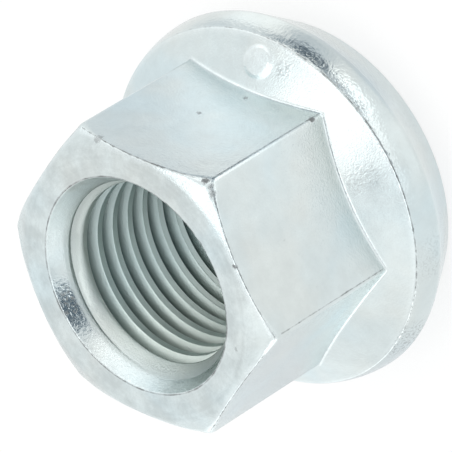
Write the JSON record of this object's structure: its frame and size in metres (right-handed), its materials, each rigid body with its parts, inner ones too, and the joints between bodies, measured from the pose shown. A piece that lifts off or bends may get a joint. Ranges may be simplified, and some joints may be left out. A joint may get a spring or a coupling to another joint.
{
  "type": "conical flange lug nut",
  "caption": "Hexagon lug nut with a one-piece round flange and a 60 degree conical seat, zinc plated, with a fine metric thread.",
  "frame": {"origin": "centre of the bottom face, at the seat end, on the thread axis", "axes": "+Z along the thread axis towards the wrench end; the hexagon's corners lie on the X axis and every 60 degrees from it"},
  "size_m": [0.026, 0.026, 0.0182],
  "materials": {
    "zinc_plate": "satin clear blue zinc plate on steel"
  },
  "bodies": {
    "root": {"lug_nut": "zinc_plate"}
  },
  "joints": []
}
